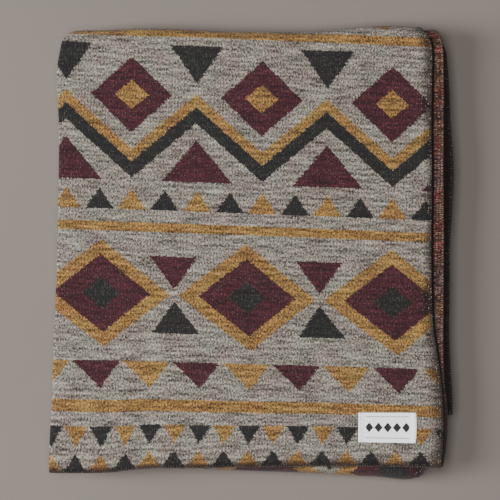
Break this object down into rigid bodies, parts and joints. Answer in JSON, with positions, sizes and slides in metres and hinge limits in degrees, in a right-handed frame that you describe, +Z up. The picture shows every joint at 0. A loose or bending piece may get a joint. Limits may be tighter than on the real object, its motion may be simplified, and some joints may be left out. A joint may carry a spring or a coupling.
{
  "type": "folded wool blanket",
  "caption": "Wool blanket folded back and forth into a flat rectangular stack with rounded folds, uneven edges and a small sewn-on woven label.",
  "frame": {"origin": "centre of the bounding box's underside, on the surface the folded blanket rests on", "axes": "+Z up through the layers, +Y along the folded blanket from its hem to its turned end, +X across it towards the selvedges"},
  "size_m": [0.4176, 0.4676, 0.0504],
  "materials": {
    "wool": "soft brushed heathered wool, matte",
    "label_ribbon": "closely woven off-white ribbon, slight sheen"
  },
  "bodies": {
    "root": {"blanket": "wool", "label": "label_ribbon"}
  },
  "joints": []
}
